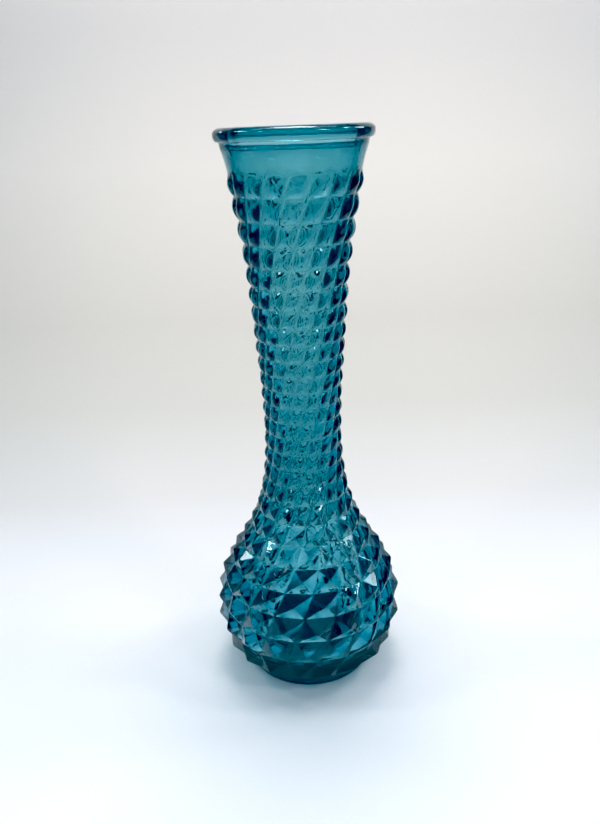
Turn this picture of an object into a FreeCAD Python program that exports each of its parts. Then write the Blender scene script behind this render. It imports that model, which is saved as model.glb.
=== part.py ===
"""Glass bud vase, one moulded body of teal glass, cut into zones that meet face to face.

Millimetres, +Z up, origin at the middle of the foot on the surface it stands on.
The outside is covered with studs in a grid of rings and columns that winds slowly
round the vase. Each zone is a solid of its own, split from the next one at a level ring.
"""
import FreeCAD, Part
import math
import os

# Driving dimensions of the whole vase, angles in degrees
HEIGHT = 240.0
COLUMNS = 18
ROWS = 26
TWIST_PER_ROW = 6.0

# Turn of the first column from +X at the top ring: sets which way the winding columns face
FIRST_COLUMN_ANGLE = 5.1

# Levels where the zones meet
STUDS_TOP = 224.0
STUDS_BOTTOM = 8.0
BEAD_BOTTOM = 233.5
NECK_ROWS = 17
SHOULDER_ROWS = 21

# Grooves between the studs, as (ring, radius, height), rings counted from the top
GROOVE_OUTLINE = (
    (0, 26.4, STUDS_TOP),
    (3, 21.2, 196.2),
    (7, 18.2, 163.8),
    (11, 16.25, 136.2),
    (14, 15.7, 115.6),
    (NECK_ROWS, 17.2, 93.9),
    (19, 21.2, 78.2),
    (SHOULDER_ROWS, 29.2, 61.5),
    (23, 38.3, 42.9),
    (24, 39.6, 31.9),
    (25, 38.3, 20.5),
    (ROWS, 33.3, STUDS_BOTTOM),
)

# Height of a stud above its grooves, as a share of the radius. It grows over the top rows,
# and again on the shoulder between two radii of the grooves
STUD_HEIGHT_AT_TOP = 0.048
STUD_HEIGHT_IN_NECK = 0.083
STUD_HEIGHT_IN_BULB = 0.088
TOP_ROWS = (0.0, 3.0)
STUD_HEIGHT_CHANGE_RADII = (19.0, 29.0)

# The neck's studs are rounded: part way in from their edge they already stand this high
ROUND_STUD_INSET = 0.42
ROUND_STUD_RISE = 0.78

# Hollow
FLOOR_HEIGHT = 9.0
FLOOR_RADIUS = 20.0
HOLLOW_OUTLINE = (
    (FLOOR_RADIUS, FLOOR_HEIGHT),
    (33.7, 15.5),
    (37.4, 30.5),
    (26.2, 61.5),
    (14.1, 93.9),
    (12.8, 114.0),
    (16.0, 163.8),
    (18.9, 196.2),
    (23.7, STUDS_TOP),
    (25.8, BEAD_BOTTOM),
)

# Collar and rim bead
COLLAR_TOP_RADIUS = 29.1
COLLAR_MIDDLE = (27.6, 228.6)
BEAD_RADIUS = 31.6
BEAD_WIDEST = 236.7
BEAD_CROWN_RADIUS = 28.3
BEAD_INNER = (26.4, 238.4)

# Foot
FOOT_TOP_RADIUS = 32.8
FOOT_COVE = (29.8, 4.6)
FOOT_WAIST = (28.6, 1.6)
FOOT_EDGE = (28.1, 0.5)
CONTACT_OUTER = 27.0
CONTACT_INNER = 22.5
RECESS_HEIGHT = 1.6
RECESS_DOME = 2.6
RECESS_DOME_MIDDLE = 2.35

# Halvings when looking for a height on an outline
SEARCH_STEPS = 60

ORIGIN = FreeCAD.Vector(0, 0, 0)
UP = FreeCAD.Vector(0, 0, 1)


def section_point(radius, height):
    """Point of a lathe outline, in the XZ plane."""
    return FreeCAD.Vector(radius, 0, height)


def smooth_outline(points, **conditions):
    """Spline through outline points given as (radius, height)."""
    curve = Part.BSplineCurve()
    curve.interpolate(Points=[section_point(*point) for point in points], **conditions)
    return curve


def blend(value, limits, first, last):
    """First below the lower limit, last above the upper one, straight between."""
    share = (value - limits[0]) / (limits[1] - limits[0])
    return first + (last - first) * min(max(share, 0.0), 1.0)


def parameter_at_height(curve, height):
    """Parameter where a rising outline reaches a height."""
    low = curve.FirstParameter
    high = curve.LastParameter
    for _ in range(SEARCH_STEPS):
        middle = (low + high) / 2
        if curve.value(middle).z < height:
            low = middle
        else:
            high = middle
    return (low + high) / 2


GROOVES = smooth_outline(
    [(radius, height) for _, radius, height in GROOVE_OUTLINE],
    Parameters=[float(ring) for ring, _, _ in GROOVE_OUTLINE],
)
HOLLOW = smooth_outline(HOLLOW_OUTLINE, InitialTangent=FreeCAD.Vector(1, 0, 0))


def spin(point, row, column):
    """Turn an outline point to its column, wound by the twist of its row."""
    angle = FIRST_COLUMN_ANGLE + 360.0 / COLUMNS * column - TWIST_PER_ROW * row
    return FreeCAD.Rotation(UP, angle).multVec(point)


def grid_point(row, column, rise=0.0):
    """Point of the stud grid, row and column may be fractions, rise is out from the grooves."""
    down = GROOVES.tangent(row)[0]
    outward = FreeCAD.Vector(-down.z, 0, down.x)
    return spin(GROOVES.value(row) + outward * rise, row, column)


def ring_height(ring):
    return GROOVES.value(ring).z


def triangle(first, second, third):
    return Part.Face(Part.makePolygon([first, second, third, first]))


def stud_height(row):
    """Height of a stud: lowest under the collar, tallest on the bulb."""
    radius = GROOVES.value(row).x
    if row < NECK_ROWS:
        return radius * blend(row, TOP_ROWS, STUD_HEIGHT_AT_TOP, STUD_HEIGHT_IN_NECK)
    return radius * blend(radius, STUD_HEIGHT_CHANGE_RADII, STUD_HEIGHT_IN_NECK, STUD_HEIGHT_IN_BULB)


def stud_faces(row, column):
    """Facets of one stud: a sharp pyramid on the bulb, with a second slope round it in the neck."""
    corners = [
        grid_point(row, column),
        grid_point(row, column + 1),
        grid_point(row + 1, column + 1),
        grid_point(row + 1, column),
    ]
    height = stud_height(row + 0.5)
    apex = grid_point(row + 0.5, column + 0.5, height)
    if row >= NECK_ROWS:
        return [triangle(corners[side - 1], corners[side], apex) for side in range(4)]
    far = 1 - ROUND_STUD_INSET / 2
    near = ROUND_STUD_INSET / 2
    rise = height * ROUND_STUD_RISE
    shoulders = [
        grid_point(row + near, column + near, rise),
        grid_point(row + near, column + far, rise),
        grid_point(row + far, column + far, rise),
        grid_point(row + far, column + near, rise),
    ]
    faces = []
    for side in range(4):
        faces.append(triangle(corners[side - 1], corners[side], shoulders[side]))
        faces.append(triangle(corners[side - 1], shoulders[side], shoulders[side - 1]))
        faces.append(triangle(shoulders[side - 1], shoulders[side], apex))
    return faces


def ring_annulus(ring, inner_radius):
    """Level face at a ring, from the hollow out to the grooves."""
    corners = [grid_point(ring, column) for column in range(COLUMNS + 1)]
    corners[-1] = corners[0]
    outer = Part.makePolygon(corners)
    centre = FreeCAD.Vector(0, 0, ring_height(ring))
    inner = Part.Wire(Part.makeCircle(inner_radius, centre, UP))
    inner.reverse()
    return Part.Face([outer, inner])


def lathe_edges(edges):
    """Turn open outline edges into faces round the axis."""
    return [face for edge in edges for face in edge.revolve(ORIGIN, UP, 360).Faces]


def lathe_solid(edges):
    """Turn a closed outline into a solid round the axis."""
    outline = Part.Face(Part.Wire(edges))
    return outline.revolve(ORIGIN, UP, 360).Solids[0]


def closed_solid(faces):
    """Sew faces into one solid."""
    shell = Part.makeShell(faces)
    shell.sewShape()
    solid = Part.makeSolid(shell.Shells[0])
    if solid.Volume < 0:
        solid.reverse()
    return solid


def hollow_edge(bottom, top):
    """Stretch of the hollow's outline between two heights."""
    piece = HOLLOW.copy()
    piece.segment(parameter_at_height(HOLLOW, bottom), parameter_at_height(HOLLOW, top))
    return piece.toShape()


def hollow_radius(height):
    return HOLLOW.value(parameter_at_height(HOLLOW, height)).x


def line(first, second):
    return Part.LineSegment(section_point(*first), section_point(*second)).toShape()


def arc(first, middle, last):
    points = [section_point(*point) for point in (first, middle, last)]
    return Part.Arc(*points).toShape()


def bow(first, middle, last):
    """Nearly straight curve through three outline points."""
    return smooth_outline((first, middle, last)).toShape()


def studded_zone(top_ring, bottom_ring):
    """Zone between two rings, with the hollow running through it."""
    top = ring_height(top_ring)
    bottom = ring_height(bottom_ring)
    faces = []
    for row in range(top_ring, bottom_ring):
        for column in range(COLUMNS):
            faces += stud_faces(row, column)
    faces.append(ring_annulus(top_ring, hollow_radius(top)))
    faces.append(ring_annulus(bottom_ring, hollow_radius(bottom)))
    faces += lathe_edges([hollow_edge(bottom, top)])
    return closed_solid(faces)


def rim_bead():
    """Fire-polished roll round the mouth."""
    inner_bottom = (hollow_radius(BEAD_BOTTOM), BEAD_BOTTOM)
    outer_bottom = (COLLAR_TOP_RADIUS, BEAD_BOTTOM)
    crown = (BEAD_CROWN_RADIUS, HEIGHT)
    return lathe_solid([
        line(inner_bottom, outer_bottom),
        arc(outer_bottom, (BEAD_RADIUS, BEAD_WIDEST), crown),
        bow(crown, BEAD_INNER, inner_bottom),
    ])


def mouth_collar():
    """Plain flared wall between the studs and the bead."""
    inner_bottom = (hollow_radius(STUDS_TOP), STUDS_TOP)
    inner_top = (hollow_radius(BEAD_BOTTOM), BEAD_BOTTOM)
    outer_bottom = (GROOVE_OUTLINE[0][1], STUDS_TOP)
    outer_top = (COLLAR_TOP_RADIUS, BEAD_BOTTOM)
    return lathe_solid([
        line(inner_bottom, outer_bottom),
        bow(outer_bottom, COLLAR_MIDDLE, outer_top),
        line(outer_top, inner_top),
        hollow_edge(STUDS_TOP, BEAD_BOTTOM),
    ])


def bulb():
    """Round body down to the foot, with the lower wall round the floor of the hollow."""
    top = ring_height(SHOULDER_ROWS)
    faces = []
    for row in range(SHOULDER_ROWS, ROWS):
        for column in range(COLUMNS):
            faces += stud_faces(row, column)
    faces.append(ring_annulus(SHOULDER_ROWS, hollow_radius(top)))
    faces.append(ring_annulus(ROWS, FLOOR_RADIUS))
    wall_round_floor = line((FLOOR_RADIUS, STUDS_BOTTOM), (FLOOR_RADIUS, FLOOR_HEIGHT))
    faces += lathe_edges([wall_round_floor, hollow_edge(FLOOR_HEIGHT, top)])
    return closed_solid(faces)


def foot_ring():
    """Plain foot under the last studs, standing on a flat ring."""
    outer_top = (FOOT_TOP_RADIUS, STUDS_BOTTOM)
    inner_top = (FLOOR_RADIUS, STUDS_BOTTOM)
    recess_edge = (FLOOR_RADIUS, RECESS_HEIGHT)
    return lathe_solid([
        bow(outer_top, FOOT_COVE, FOOT_WAIST),
        arc(FOOT_WAIST, FOOT_EDGE, (CONTACT_OUTER, 0)),
        line((CONTACT_OUTER, 0), (CONTACT_INNER, 0)),
        line((CONTACT_INNER, 0), recess_edge),
        line(recess_edge, inner_top),
        line(inner_top, outer_top),
    ])


def base_disc():
    """Thick bottom of the hollow, domed up a little underneath."""
    recess_edge = (FLOOR_RADIUS, RECESS_HEIGHT)
    dome_middle = (FLOOR_RADIUS / 2, RECESS_DOME_MIDDLE)
    return lathe_solid([
        bow((0, RECESS_DOME), dome_middle, recess_edge),
        line((0, RECESS_DOME), (0, FLOOR_HEIGHT)),
        line((0, FLOOR_HEIGHT), (FLOOR_RADIUS, FLOOR_HEIGHT)),
        line((FLOOR_RADIUS, FLOOR_HEIGHT), recess_edge),
    ])


ZONES = {
    "rim_bead": rim_bead(),
    "mouth_collar": mouth_collar(),
    "studded_neck": studded_zone(0, NECK_ROWS),
    "shoulder": studded_zone(NECK_ROWS, SHOULDER_ROWS),
    "bulb": bulb(),
    "foot_ring": foot_ring(),
    "base_disc": base_disc(),
}

os.makedirs("parts", exist_ok=True)
for name, shape in ZONES.items():
    shape.exportStep(f"parts/{name}.step")
    print(name, "valid:", shape.isValid(), "volume:", round(shape.Volume, 1))
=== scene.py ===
import math
from bisect import bisect

import bpy
import numpy as np
from mathutils import Matrix, Vector, noise


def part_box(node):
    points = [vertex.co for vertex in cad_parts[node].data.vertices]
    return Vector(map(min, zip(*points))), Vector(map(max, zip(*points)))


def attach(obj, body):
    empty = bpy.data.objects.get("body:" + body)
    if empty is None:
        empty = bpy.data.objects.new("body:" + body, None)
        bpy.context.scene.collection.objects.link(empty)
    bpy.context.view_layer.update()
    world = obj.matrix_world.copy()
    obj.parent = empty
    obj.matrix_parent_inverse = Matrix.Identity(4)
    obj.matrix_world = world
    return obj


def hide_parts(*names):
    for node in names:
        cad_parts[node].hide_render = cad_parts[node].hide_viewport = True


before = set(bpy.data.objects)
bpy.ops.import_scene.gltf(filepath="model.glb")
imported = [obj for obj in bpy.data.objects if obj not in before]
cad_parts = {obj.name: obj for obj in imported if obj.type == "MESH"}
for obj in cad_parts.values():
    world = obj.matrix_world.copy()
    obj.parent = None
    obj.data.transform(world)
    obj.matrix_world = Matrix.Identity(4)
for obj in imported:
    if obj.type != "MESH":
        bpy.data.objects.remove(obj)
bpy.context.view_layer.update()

# ---------------------------------------------------------------------------
# Sizes, in metres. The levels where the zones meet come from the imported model's nodes.
# ---------------------------------------------------------------------------
MM = 0.001
NODES = ("rim_bead", "mouth_collar", "studded_neck", "shoulder", "bulb", "foot_ring", "base_disc")
RIM_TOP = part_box("rim_bead")[1][2]
BEAD_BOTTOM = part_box("rim_bead")[0][2]
BEAD_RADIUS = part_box("rim_bead")[1][0]
STUDS_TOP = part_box("studded_neck")[1][2]
NECK_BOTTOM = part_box("studded_neck")[0][2]
SHOULDER_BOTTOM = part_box("shoulder")[0][2]
STUDS_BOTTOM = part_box("bulb")[0][2]
FLOOR_OF_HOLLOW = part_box("base_disc")[1][2]
RECESS_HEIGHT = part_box("base_disc")[0][2]
FLOOR_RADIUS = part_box("base_disc")[1][0]

# Grid of studs
COLUMNS = 18
ROWS = 26
NECK_ROWS = 17
SHOULDER_ROWS = 21
TWIST_PER_ROW = math.radians(6.0)
FIRST_COLUMN_ANGLE = math.radians(5.1)
COLUMN_ANGLE = 2 * math.pi / COLUMNS

# Grooves between the studs: ring counted from the top, radius, height
GROOVE_OUTLINE = (
    (0, 26.4 * MM, STUDS_TOP),
    (3, 21.2 * MM, 196.2 * MM),
    (7, 18.2 * MM, 163.8 * MM),
    (11, 16.25 * MM, 136.2 * MM),
    (14, 15.7 * MM, 115.6 * MM),
    (NECK_ROWS, 17.2 * MM, NECK_BOTTOM),
    (19, 21.2 * MM, 78.2 * MM),
    (SHOULDER_ROWS, 29.2 * MM, SHOULDER_BOTTOM),
    (23, 38.3 * MM, 42.9 * MM),
    (24, 39.6 * MM, 31.9 * MM),
    (25, 38.3 * MM, 20.5 * MM),
    (ROWS, 33.3 * MM, STUDS_BOTTOM),
)

# Hollow, from its floor up to the bead: radius, height
HOLLOW_OUTLINE = (
    (FLOOR_RADIUS, FLOOR_OF_HOLLOW),
    (33.7 * MM, 15.5 * MM),
    (37.4 * MM, 30.5 * MM),
    (26.2 * MM, SHOULDER_BOTTOM),
    (14.1 * MM, NECK_BOTTOM),
    (12.8 * MM, 114.0 * MM),
    (16.0 * MM, 163.8 * MM),
    (18.9 * MM, 196.2 * MM),
    (23.7 * MM, STUDS_TOP),
    (25.8 * MM, BEAD_BOTTOM),
)

# Stud shapes: share of the radius that a stud stands proud
STUD_HEIGHT_AT_TOP = 0.048
STUD_HEIGHT_IN_NECK = 0.083
TOP_ROWS = 3.0
STUD_HEIGHT_IN_BULB = 0.088
STUD_HEIGHT_CHANGE_RADII = (19.0 * MM, 29.0 * MM)
SHARP_FROM_ROW = 16.0
SHARP_BY_ROW = 20.5
RIB_SHARE = 0.86
GROOVE_SHARE = 0.985
PILLOW_SIDE_POWER = 2.8
PILLOW_END_POWER = 2.15
RIDGE_POWER = 16.0
APEX_ROUNDING = 0.05

# Collar, cove and bead at the mouth
COLLAR_TOP_RADIUS = BEAD_RADIUS - 2.6 * MM
COLLAR_TOP = RIM_TOP - 7.2 * MM
COLLAR_BOW = 0.2 * MM
COLLAR_STEPS = 8
COVE_MIDDLE = (BEAD_RADIUS - 1.1 * MM, RIM_TOP - 6.9 * MM)
COVE_RADII = (1.45 * MM, 1.95 * MM)
BEAD_SIDE_RADII = (2.1 * MM, 3.3 * MM)
BEAD_SIDE_FULLNESS = 0.82
BEAD_CROWN_RADII = (2.5 * MM, 2.0 * MM)
BEAD_CROWN_FULLNESS = 1.25
BEAD_WIDEST = RIM_TOP - BEAD_CROWN_RADII[1]
LIP_DEPTH = 3.2 * MM

# Foot, and the floor of the hollow above it
FOOT_FLANK_TOP = 7.2 * MM
FOOT_WAIST = 1.7 * MM
FOOT_WAIST_RADIUS = 28.6 * MM
FOOT_FLARE = 3.0 * MM
CONTACT_OUTER = 27.0 * MM
CONTACT_INNER = 23.4 * MM
RECESS_RADIUS = 19.6 * MM
RECESS_DOME = 2.6 * MM
FLOOR_DIP = 0.3 * MM

# Mesh fineness: nested squares of a stud, steps along each side of a square, points down the hollow
NESTED_SQUARES = (1.0, 0.95, 0.86, 0.72, 0.54, 0.36, 0.2, 0.08)
SIDE_STEPS = (-1.0, -0.9, -0.62, -0.3, 0.0, 0.3, 0.62, 0.9)
HOLLOW_STEPS = 300
SAME_PLACE = 1e-7

# Small unevenness of moulded and fire-polished glass
RIM_WAVE = 0.35 * MM
RIM_RIPPLE = 0.3 * MM
RIM_RIPPLES = 8.5
WALL_WAVE = 0.3 * MM
WALL_WAVE_LENGTH = 22 * MM
WALL_RIPPLE = 0.09 * MM
WALL_RIPPLE_LENGTH = 3.2 * MM
STUD_VARIATION = 0.06


# ---------------------------------------------------------------------------
# Outline helpers
# ---------------------------------------------------------------------------
def natural_spline(knots, values):
    """Smooth function through values at knots."""
    spans = [after - before for before, after in zip(knots, knots[1:])]
    slopes = [(after - before) / span for before, after, span in zip(values, values[1:], spans)]
    system = np.eye(len(knots))
    right = np.zeros(len(knots))
    for i in range(1, len(knots) - 1):
        system[i, i - 1:i + 2] = (spans[i - 1], 2 * (spans[i - 1] + spans[i]), spans[i])
        right[i] = 6 * (slopes[i] - slopes[i - 1])
    bends = np.linalg.solve(system, right).tolist()

    def at(position):
        i = min(max(bisect(knots, position) - 1, 0), len(spans) - 1)
        after = position - knots[i]
        before = knots[i + 1] - position
        span = spans[i]
        curve = (bends[i] * before**3 + bends[i + 1] * after**3) / (6 * span)
        lines = (values[i] / span - bends[i] * span / 6) * before
        return curve + lines + (values[i + 1] / span - bends[i + 1] * span / 6) * after

    return at


def smooth_step(value, low, high):
    share = min(max((value - low) / (high - low), 0.0), 1.0)
    return share * share * (3 - 2 * share)


groove_radius = natural_spline([p[0] for p in GROOVE_OUTLINE], [p[1] for p in GROOVE_OUTLINE])
groove_height = natural_spline([p[0] for p in GROOVE_OUTLINE], [p[2] for p in GROOVE_OUTLINE])


def grid_angle(row, column):
    return FIRST_COLUMN_ANGLE + COLUMN_ANGLE * column - TWIST_PER_ROW * row


def groove_point(row, column):
    """Point of the groove surface, a smooth surface of revolution."""
    angle = grid_angle(row, column)
    radius = groove_radius(row)
    return Vector((radius * math.cos(angle), radius * math.sin(angle), groove_height(row)))


def outward(row, column):
    """Direction out of the groove surface."""
    step = 0.01
    down_radius = groove_radius(row + step) - groove_radius(row - step)
    down_height = groove_height(row + step) - groove_height(row - step)
    angle = grid_angle(row, column)
    level = Vector((math.cos(angle), math.sin(angle), 0)) * -down_height
    return (level + Vector((0, 0, down_radius))).normalized()


# ---------------------------------------------------------------------------
# Studs
# ---------------------------------------------------------------------------
def stud_height(row):
    radius = groove_radius(row)
    if row < TOP_ROWS:
        return radius * (STUD_HEIGHT_AT_TOP + row / TOP_ROWS * (STUD_HEIGHT_IN_NECK - STUD_HEIGHT_AT_TOP))
    share = smooth_step(radius, *STUD_HEIGHT_CHANGE_RADII) if row > NECK_ROWS else 0.0
    return radius * (STUD_HEIGHT_IN_NECK + share * (STUD_HEIGHT_IN_BULB - STUD_HEIGHT_IN_NECK))


def pillow(across, along, fades_up):
    """Rounded boss between two flat ribs: 1 in the middle, 0 on the ribs and grooves."""
    side = 1 - min(abs(across) / RIB_SHARE, 1.0) ** PILLOW_SIDE_POWER
    if fades_up and along < 0:
        return side * (1 - smooth_step(-along, 0.0, 1.0))
    return side * (1 - min(abs(along) / GROOVE_SHARE, 1.0) ** PILLOW_END_POWER)


def pyramid(across, along):
    """Four-sided point with slightly softened ridges and tip."""
    reach = (abs(across)**RIDGE_POWER + abs(along)**RIDGE_POWER) ** (1 / RIDGE_POWER)
    return 1 - math.hypot(min(reach, 1.0), APEX_ROUNDING) / math.hypot(1.0, APEX_ROUNDING)


def flat_base(row, column, across, along):
    """Point on the four-cornered patch between a stud's corners."""
    s = (across + 1) / 2
    t = (along + 1) / 2
    top = groove_point(row, column).lerp(groove_point(row, column + 1), s)
    bottom = groove_point(row + 1, column).lerp(groove_point(row + 1, column + 1), s)
    return top.lerp(bottom, t)


def stud_point(row, column, across, along, height, sharpness):
    """Point of a stud's surface; across and along run from -1 to 1 over its cell."""
    here_row = row + (along + 1) / 2
    here_column = column + (across + 1) / 2
    lift = height * pillow(across, along, row == 0)
    rounded = groove_point(here_row, here_column) + outward(here_row, here_column) * lift
    if sharpness == 0.0:
        return rounded
    middle = (row + 0.5, column + 0.5)
    apex = groove_point(*middle) + outward(*middle) * height
    rise = (apex - flat_base(row, column, 0, 0)) * pyramid(across, along)
    return rounded.lerp(flat_base(row, column, across, along) + rise, sharpness)


def square_walk(size):
    """Places round a nested square of a cell, as (across, along), clockwise from its first corner."""
    walk = []
    for turn in range(4):
        for step in SIDE_STEPS:
            across, along = step * size, -size
            for _ in range(turn):
                across, along = -along, across
            walk.append((across, along))
    return walk


class MeshBuilder:
    """Collects points and faces, and shares points that coincide."""

    def __init__(self):
        self.points = []
        self.faces = []
        self.known = {}

    def point(self, place):
        key = tuple(round(value / SAME_PLACE) for value in place)
        if key not in self.known:
            self.known[key] = len(self.points)
            self.points.append(tuple(place))
        return self.known[key]

    def face(self, corners):
        """Adds a face without repeated corners."""
        unique = [c for i, c in enumerate(corners) if c != corners[i - 1]]
        if len(unique) > 2:
            self.faces.append(unique)


def add_stud(builder, row, column):
    """One stud, as rings of faces between nested squares and a fan at its tip."""
    sharpness = smooth_step(row + 0.5, SHARP_FROM_ROW, SHARP_BY_ROW)
    wobble = noise.noise(Vector((row * 1.7, column * 2.3, 5.1)))
    height = stud_height(row + 0.5) * (1 + STUD_VARIATION * (wobble - 1) / 2)
    rings = []
    for size in NESTED_SQUARES:
        places = [stud_point(row, column, a, b, height, sharpness) for a, b in square_walk(size)]
        rings.append([builder.point(place) for place in places])
    for outer, inner in zip(rings, rings[1:]):
        for i in range(len(outer)):
            builder.face([outer[i - 1], inner[i - 1], inner[i], outer[i]])
    tip = builder.point(stud_point(row, column, 0, 0, height, sharpness))
    last = rings[-1]
    for i in range(len(last)):
        builder.face([last[i - 1], tip, last[i]])


# ---------------------------------------------------------------------------
# Plain parts of the body, turned round the axis
# ---------------------------------------------------------------------------
def ring_columns():
    """Columns of the mesh's points round a level ring, with the place across each column."""
    return [(column, across) for column in range(COLUMNS) for across in SIDE_STEPS]


def turned_ring(builder, radius, height, row, wave=None):
    """Level ring of points with the same angles as the stud rings."""
    ring = []
    for column, across in ring_columns():
        angle = grid_angle(row, column + (across + 1) / 2)
        r, z = (radius, height) if wave is None else wave(radius, height, angle)
        ring.append(builder.point((r * math.cos(angle), r * math.sin(angle), z)))
    return ring


def stud_edge_ring(builder, row, along):
    """The ring of points that the studs of a row share with the plain part next to them."""
    sharpness = smooth_step(row + 0.5, SHARP_FROM_ROW, SHARP_BY_ROW)
    places = [stud_point(row, column, across, along, 0.0, sharpness) for column, across in ring_columns()]
    return [builder.point(place) for place in places]


def bridge(builder, upper, lower):
    """Band of faces from one ring to the next one down, facing out."""
    for i in range(len(upper)):
        builder.face([upper[i - 1], lower[i - 1], lower[i], upper[i]])


def arc_points(centre, radii, start, end, steps, fullness=1.0):
    """Points on an arc in the outline plane, angles in degrees; below 1, fullness squares it off."""
    points = []
    for step in range(steps + 1):
        angle = math.radians(start + (end - start) * step / steps)
        side = math.copysign(abs(math.cos(angle))**fullness, math.cos(angle))
        rise = math.copysign(abs(math.sin(angle))**fullness, math.sin(angle))
        points.append((centre[0] + radii[0] * side, centre[1] + radii[1] * rise))
    return points


def rim_wave(radius, height, angle):
    """Waves and ripple of a fire-polished rim, growing with height above the studs."""
    share = smooth_step(height, STUDS_TOP, RIM_TOP)
    lift = 0.5 * (math.cos(angle) - 1) + 0.12 * (math.sin(3 * angle + 2.0) - 1)
    swell = 0.2 * (math.sin(3 * angle + 1.1) - 1) + 0.1 * (math.sin(5 * angle) - 1)
    place = Vector((RIM_RIPPLES * math.cos(angle), RIM_RIPPLES * math.sin(angle), height / (9 * MM)))
    ripple = RIM_RIPPLE * (noise.noise(place) - 1) / 2
    return radius + share * (RIM_WAVE * swell + ripple), height + share * RIM_WAVE * lift


def wall_wave(radius, height, angle):
    """Uneven thickness of the glass, felt on the inside."""
    place = Vector((radius * math.cos(angle), radius * math.sin(angle), height))
    wave = WALL_WAVE * noise.noise(place / WALL_WAVE_LENGTH)
    ripple = WALL_RIPPLE * noise.noise(place / WALL_RIPPLE_LENGTH)
    return radius + wave + ripple, height


def outer_mouth_outline():
    """Collar, cove and bead, from the studs up to the crown of the rim."""
    foot_radius = groove_radius(0)
    collar = []
    for step in range(1, COLLAR_STEPS + 1):
        share = step / COLLAR_STEPS
        radius = foot_radius + (COLLAR_TOP_RADIUS - foot_radius) * share
        hollowed = COLLAR_BOW * math.sin(math.pi * share)
        collar.append((radius - hollowed, STUDS_TOP + (COLLAR_TOP - STUDS_TOP) * share))
    cove = arc_points(COVE_MIDDLE, COVE_RADII, 178, 95, 7)
    side_middle = (BEAD_RADIUS - BEAD_SIDE_RADII[0], BEAD_WIDEST)
    side = arc_points(side_middle, BEAD_SIDE_RADII, -74, 0, 12, BEAD_SIDE_FULLNESS)
    crown_middle = (BEAD_RADIUS - BEAD_CROWN_RADII[0], BEAD_WIDEST)
    crown = arc_points(crown_middle, BEAD_CROWN_RADII, 6, 90, 14, BEAD_CROWN_FULLNESS)
    return collar + cove + side + crown


def inner_mouth_outline():
    """From the crown of the rim down to the top of the hollow's outline."""
    middle = (BEAD_RADIUS - BEAD_CROWN_RADII[0], RIM_TOP - LIP_DEPTH)
    return arc_points(middle, (middle[0] - HOLLOW_OUTLINE[-1][0], LIP_DEPTH), 100, 180, 9)


def hollow_outline():
    """Points down the inside wall to the floor of the hollow."""
    lengths = [0.0]
    for first, second in zip(HOLLOW_OUTLINE, HOLLOW_OUTLINE[1:]):
        lengths.append(lengths[-1] + math.dist(first, second))
    radius = natural_spline(lengths, [p[0] for p in HOLLOW_OUTLINE])
    height = natural_spline(lengths, [p[1] for p in HOLLOW_OUTLINE])
    points = []
    for step in range(HOLLOW_STEPS + 1):
        place = lengths[-1] * (1 - step / HOLLOW_STEPS)
        points.append((radius(place), max(height(place), FLOOR_OF_HOLLOW)))
    return points


def foot_outline():
    """Plain foot from the last studs down to the flat ring it stands on, and the recess under it."""
    outline = []
    for share in (1.0, 0.75, 0.5, 0.25):
        radius = FOOT_WAIST_RADIUS + FOOT_FLARE * share**1.5
        outline.append((radius, FOOT_WAIST + (FOOT_FLANK_TOP - FOOT_WAIST) * share))
    edge_radius = FOOT_WAIST_RADIUS - CONTACT_OUTER
    outline += arc_points((CONTACT_OUTER, FOOT_WAIST), (edge_radius, FOOT_WAIST), 0, -90, 6)
    for share in (0.0, 0.2, 0.4, 0.6, 0.8, 1.0):
        radius = CONTACT_INNER + (RECESS_RADIUS - CONTACT_INNER) * share
        outline.append((radius, RECESS_HEIGHT * smooth_step(share, 0.0, 1.0)))
    for share in (0.75, 0.5, 0.25, 0.08):
        rise = (RECESS_DOME - RECESS_HEIGHT) * (1 - share**2)
        outline.append((RECESS_RADIUS * share, RECESS_HEIGHT + rise))
    return outline


def close_with_fan(builder, ring, height, facing_up):
    """Closes a small ring with a fan to a point on the axis."""
    middle = builder.point((0, 0, height))
    for i in range(len(ring)):
        corners = [ring[i - 1], ring[i], middle]
        builder.face(corners if facing_up else corners[::-1])


def vase_mesh():
    """The whole glass body, outside and hollow, in one mesh.

    It is not closed: where rounded studs turn into pyramids, each row has its own sharpness, so five
    rings have open seams between the corners of the studs.
    """
    builder = MeshBuilder()
    for row in range(ROWS):
        for column in range(COLUMNS):
            add_stud(builder, row, column)

    last = stud_edge_ring(builder, 0, -1.0)
    for radius, height in outer_mouth_outline() + inner_mouth_outline()[1:]:
        ring = turned_ring(builder, radius, height, 0, rim_wave)
        bridge(builder, ring, last)
        last = ring
    for radius, height in hollow_outline()[1:]:
        ring = turned_ring(builder, radius, height, 0, wall_wave)
        bridge(builder, ring, last)
        last = ring
    for share in (0.8, 0.55, 0.3, 0.1):
        ring = turned_ring(builder, FLOOR_RADIUS * share, FLOOR_OF_HOLLOW - FLOOR_DIP * (1 - share**2), 0)
        bridge(builder, ring, last)
        last = ring
    close_with_fan(builder, last, FLOOR_OF_HOLLOW - FLOOR_DIP, True)

    last = stud_edge_ring(builder, ROWS - 1, 1.0)
    for radius, height in foot_outline():
        ring = turned_ring(builder, radius, height, ROWS)
        bridge(builder, last, ring)
        last = ring
    close_with_fan(builder, last, RECESS_DOME, False)
    return builder


def make_vase(material):
    builder = vase_mesh()
    mesh = bpy.data.meshes.new("glass_body")
    mesh.from_pydata(builder.points, [], builder.faces)
    mesh.validate()
    mesh.shade_smooth()
    mesh.materials.append(material)
    vase = bpy.data.objects.new("glass_body", mesh)
    bpy.context.collection.objects.link(vase)
    even = vase.modifiers.new("even_normals", "WEIGHTED_NORMAL")
    even.keep_sharp = True
    even.weight = 70
    return vase


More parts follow.
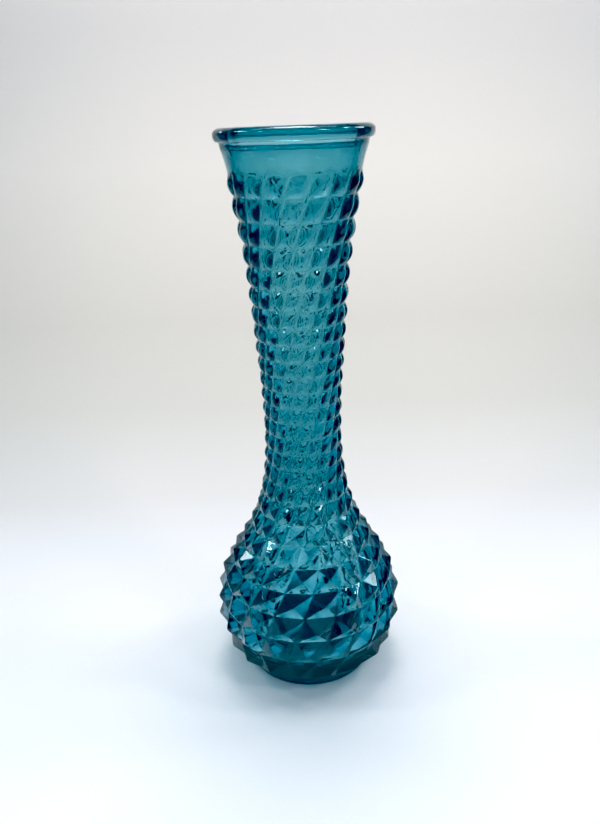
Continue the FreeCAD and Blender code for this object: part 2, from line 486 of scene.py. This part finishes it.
# ---------------------------------------------------------------------------
# Materials
# ---------------------------------------------------------------------------
def new_material(name):
    material = bpy.data.materials.new(name)
    material.use_nodes = True
    material.node_tree.nodes.clear()
    return material, material.node_tree


def noise_node(tree, scale, detail, coordinates):
    node = tree.nodes.new("ShaderNodeTexNoise")
    node.inputs["Scale"].default_value = scale
    node.inputs["Detail"].default_value = detail
    tree.links.new(coordinates, node.inputs["Vector"])
    return node


def ramp_node(tree, factor, stops):
    """Colour ramp with stops given as (position, colour)."""
    node = tree.nodes.new("ShaderNodeValToRGB")
    elements = node.color_ramp.elements
    while len(elements) < len(stops):
        elements.new(1.0)
    for element, (position, colour) in zip(elements, stops):
        element.position = position
        element.color = (*colour, 1)
    tree.links.new(factor, node.inputs["Fac"])
    return node


GLASS_ABSORPTION_COLOUR = (0.38, 0.725, 0.79)
GLASS_ABSORPTION_DENSITY = 550.0


def teal_glass():
    """Clear glass coloured all through, with a faintly wavy, fire-polished skin."""
    material, tree = new_material("teal_glass")
    place = tree.nodes.new("ShaderNodeTexCoord").outputs["Object"]

    slow = noise_node(tree, 45.0, 2.0, place)
    tint = ramp_node(tree, slow.outputs["Fac"], ((0.3, (0.86, 0.985, 0.99)), (0.7, (0.95, 1.0, 1.0))))

    haze = noise_node(tree, 220.0, 4.0, place)
    rough = tree.nodes.new("ShaderNodeMapRange")
    rough.inputs["From Min"].default_value = 0.35
    rough.inputs["From Max"].default_value = 0.75
    rough.inputs["To Min"].default_value = 0.005
    rough.inputs["To Max"].default_value = 0.035
    tree.links.new(haze.outputs["Fac"], rough.inputs["Value"])

    ripple = noise_node(tree, 420.0, 2.0, place)
    bump = tree.nodes.new("ShaderNodeBump")
    bump.inputs["Strength"].default_value = 0.2
    bump.inputs["Distance"].default_value = 0.0004
    tree.links.new(ripple.outputs["Fac"], bump.inputs["Height"])

    glass = tree.nodes.new("ShaderNodeBsdfPrincipled")
    glass.inputs["Transmission Weight"].default_value = 1.0
    glass.inputs["IOR"].default_value = 1.5
    glass.inputs["Specular Tint"].default_value = (0.7, 0.92, 1.0, 1)
    tree.links.new(tint.outputs["Color"], glass.inputs["Base Color"])
    tree.links.new(rough.outputs["Result"], glass.inputs["Roughness"])
    tree.links.new(bump.outputs["Normal"], glass.inputs["Normal"])

    lamp_light = tree.nodes.new("ShaderNodeBsdfTransparent")
    lamp_light.inputs["Color"].default_value = (0.9, 1.0, 0.97, 1)
    rays = tree.nodes.new("ShaderNodeLightPath")
    mix = tree.nodes.new("ShaderNodeMixShader")
    tree.links.new(rays.outputs["Is Shadow Ray"], mix.inputs["Fac"])
    tree.links.new(glass.outputs["BSDF"], mix.inputs[1])
    tree.links.new(lamp_light.outputs["BSDF"], mix.inputs[2])

    inside = tree.nodes.new("ShaderNodeVolumeAbsorption")
    inside.inputs["Color"].default_value = (*GLASS_ABSORPTION_COLOUR, 1)
    inside.inputs["Density"].default_value = GLASS_ABSORPTION_DENSITY

    out = tree.nodes.new("ShaderNodeOutputMaterial")
    tree.links.new(mix.outputs["Shader"], out.inputs["Surface"])
    tree.links.new(inside.outputs["Volume"], out.inputs["Volume"])
    return material


def paper_sweep_material():
    """Matt paper, cool white at the front of the table, with painted shade: darker and warmer grey up into
    the bend, lighter again high on the back, and darker towards the sides.
    """
    material, tree = new_material("paper_sweep")
    place = tree.nodes.new("ShaderNodeTexCoord").outputs["Object"]
    split = tree.nodes.new("ShaderNodeSeparateXYZ")
    tree.links.new(place, split.inputs["Vector"])

    along_floor = tree.nodes.new("ShaderNodeMath")
    along_floor.operation = "MULTIPLY_ADD"
    along_floor.inputs[1].default_value = 0.15
    tree.links.new(split.outputs["Y"], along_floor.inputs[0])
    tree.links.new(split.outputs["Z"], along_floor.inputs[2])
    climb = tree.nodes.new("ShaderNodeMapRange")
    climb.inputs["From Min"].default_value = -0.02
    climb.inputs["From Max"].default_value = 0.4
    tree.links.new(along_floor.outputs["Value"], climb.inputs["Value"])
    # Painted shade: the paper darkens from the front of the table up into the bend and is lighter again
    # high on the wall, while its tint turns from cool white to warm grey.
    tint_and_painted_shade_by_height = ramp_node(tree, climb.outputs["Result"], (
        (0.0, (0.93, 0.92, 0.95)),
        (0.033, (0.86, 0.87, 0.92)),
        (0.076, (0.77, 0.77, 0.81)),
        (0.12, (0.70, 0.675, 0.67)),
        (0.23, (0.633, 0.60, 0.56)),
        (0.37, (0.635, 0.59, 0.545)),
        (0.68, (0.795, 0.74, 0.69)),
        (0.94, (0.815, 0.76, 0.73)),
    ))

    # Painted shade: the paper darkens towards both sides.
    square = tree.nodes.new("ShaderNodeMath")
    square.operation = "MULTIPLY"
    tree.links.new(split.outputs["X"], square.inputs[0])
    tree.links.new(split.outputs["X"], square.inputs[1])
    aside = tree.nodes.new("ShaderNodeMapRange")
    aside.inputs["From Min"].default_value = 0.01
    aside.inputs["From Max"].default_value = 0.09
    tree.links.new(square.outputs["Value"], aside.inputs["Value"])
    shade = ramp_node(tree, aside.outputs["Result"], ((0.0, (1, 1, 1)), (1.0, (0.86, 0.87, 0.88))))
    both = tree.nodes.new("ShaderNodeMix")
    both.data_type = "RGBA"
    both.blend_type = "MULTIPLY"
    both.inputs["Factor"].default_value = 1.0
    tree.links.new(tint_and_painted_shade_by_height.outputs["Color"], both.inputs["A"])
    tree.links.new(shade.outputs["Color"], both.inputs["B"])

    paper = tree.nodes.new("ShaderNodeBsdfPrincipled")
    paper.inputs["Roughness"].default_value = 0.9
    paper.inputs["Specular IOR Level"].default_value = 0.1
    tree.links.new(both.outputs["Result"], paper.inputs["Base Color"])
    out = tree.nodes.new("ShaderNodeOutputMaterial")
    tree.links.new(paper.outputs["BSDF"], out.inputs["Surface"])
    return material


# ---------------------------------------------------------------------------
# Stage, lights and camera
# ---------------------------------------------------------------------------
def make_sweep():
    """Floor that curves up into a backdrop."""
    half_width = 0.42
    front = -0.13
    bend_start = 0.08
    bend_radius = 0.32
    wall_top = 0.62
    line = [(front, 0.0), (bend_start, 0.0)]
    for step in range(1, 25):
        angle = math.radians(90 * step / 24)
        line.append((bend_start + bend_radius * math.sin(angle), bend_radius * (1 - math.cos(angle))))
    line.append((bend_start + bend_radius, wall_top))
    points = [(x, y, z) for y, z in line for x in (-half_width, half_width)]
    faces = [(2 * i, 2 * i + 1, 2 * i + 3, 2 * i + 2) for i in range(len(line) - 1)]
    mesh = bpy.data.meshes.new("paper_sweep")
    mesh.from_pydata(points, [], faces)
    mesh.shade_smooth()
    mesh.materials.append(paper_sweep_material())
    sweep = bpy.data.objects.new("paper_sweep", mesh)
    bpy.context.collection.objects.link(sweep)


def area_light(name, place, target, size, power, colour):
    light = bpy.data.lights.new(name, "AREA")
    light.shape = "RECTANGLE"
    light.size, light.size_y = size
    light.energy = power
    light.color = colour
    lamp = bpy.data.objects.new(name, light)
    lamp.location = place
    direction = Vector(target) - Vector(place)
    lamp.rotation_euler = direction.to_track_quat("-Z", "Y").to_euler()
    bpy.context.collection.objects.link(lamp)


def room_fill():
    """Dim, cool room: brighter above the table than below it."""
    world = bpy.data.worlds.new("studio")
    world.use_nodes = True
    tree = world.node_tree
    direction = tree.nodes.new("ShaderNodeTexCoord").outputs["Generated"]
    split = tree.nodes.new("ShaderNodeSeparateXYZ")
    tree.links.new(direction, split.inputs["Vector"])
    climb = tree.nodes.new("ShaderNodeMapRange")
    climb.inputs["From Min"].default_value = -0.25
    climb.inputs["From Max"].default_value = 0.45
    tree.links.new(split.outputs["Z"], climb.inputs["Value"])
    colour = ramp_node(tree, climb.outputs["Result"], (
        (0.0, (0.02, 0.06, 0.12)),
        (1.0, (0.13, 0.25, 0.33)),
    ))
    tree.links.new(colour.outputs["Color"], tree.nodes["Background"].inputs["Color"])
    bpy.context.scene.world = world


# Small lamps round the vase: name, turn from the camera's side towards the right in degrees,
# rise above the table in degrees, power in watts
SMALL_LAMP_DISTANCE = 0.75
SMALL_LAMP_SIZE = 0.09
SMALL_LAMPS = (
    ("right_lamp_front", 48, 48, 0.8),
    ("right_lamp_side", 92, 52, 0.9),
    ("left_lamp_front", -52, 45, 0.5),
    ("left_lamp_side", -95, 50, 0.8),
)


WARM_WHITE = (1.0, 0.98, 0.96)
COOL_WHITE = (0.95, 0.98, 1.0)


def make_lights():
    middle = (0, 0, 0.05)
    area_light("overhead_softbox", (0.0, 0.2, 0.98), (0, 0.02, 0), (0.3, 0.3), 4.6, WARM_WHITE)
    area_light("front_fill", (0.0, -1.0, 0.9), middle, (1.1, 0.8), 3.3, WARM_WHITE)
    for name, turn, rise, power in SMALL_LAMPS:
        turn = math.radians(turn)
        rise = math.radians(rise)
        place = Vector((math.sin(turn) * math.cos(rise), -math.cos(turn) * math.cos(rise), math.sin(rise)))
        place = place * SMALL_LAMP_DISTANCE + Vector(middle)
        area_light(name, place, middle, (SMALL_LAMP_SIZE, SMALL_LAMP_SIZE), power, COOL_WHITE)
    area_light("left_window", (-0.49, 0.44, 0.5), middle, (0.12, 0.12), 0.6, (1.0, 1.0, 1.0))
    area_light("right_window", (0.55, 0.25, 0.57), middle, (0.17, 0.17), 1.1, (1.0, 1.0, 1.0))
    area_light("backdrop_lamp", (0.0, 0.08, 0.72), (0, 0.4, 0.3), (0.6, 0.1), 1.3, WARM_WHITE)
    room_fill()


CAMERA_DISTANCE = 0.3118
CAMERA_HEIGHT = RIM_TOP
CAMERA_SIDE = -0.0011
CAMERA_PITCH = math.radians(20.58)
CAMERA_ROLL = math.radians(-1.9)
CAMERA_LENS = 33.47
CAMERA_SENSOR = 36.0


def make_camera():
    data = bpy.data.cameras.new("camera")
    data.lens = CAMERA_LENS
    data.sensor_width = CAMERA_SENSOR
    data.clip_start = 0.01
    camera = bpy.data.objects.new("camera", data)
    place = Matrix.Translation((CAMERA_SIDE, -CAMERA_DISTANCE, CAMERA_HEIGHT))
    tilt = Matrix.Rotation(math.pi / 2 - CAMERA_PITCH, 4, "X")
    camera.matrix_world = place @ tilt @ Matrix.Rotation(CAMERA_ROLL, 4, "Z")
    bpy.context.collection.objects.link(camera)
    bpy.context.scene.camera = camera


EXPOSURE = -0.3
BLACK_LEVEL = (0.055, 0.014, 0.0)


def set_up_contrast():
    """A little darker than plain, with the reds and greens of the shadows pulled down."""
    view = bpy.context.scene.view_settings
    view.view_transform = "Standard"
    view.exposure = EXPOSURE
    view.use_curve_mapping = True
    view.curve_mapping.black_level = BLACK_LEVEL
    view.curve_mapping.update()


def set_up_light_paths():
    """Deep glass needs many bounces; lamps reach the floor through the shadow rays instead of caustics."""
    cycles = bpy.context.scene.cycles
    cycles.max_bounces = 32
    cycles.transmission_bounces = 32
    cycles.glossy_bounces = 16
    cycles.transparent_max_bounces = 32
    cycles.caustics_refractive = False
    cycles.caustics_reflective = False
    cycles.use_denoising = True


make_camera()
vase = make_vase(teal_glass())
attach(vase, "root")
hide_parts(*NODES)
make_sweep()
make_lights()
set_up_contrast()
set_up_light_paths()
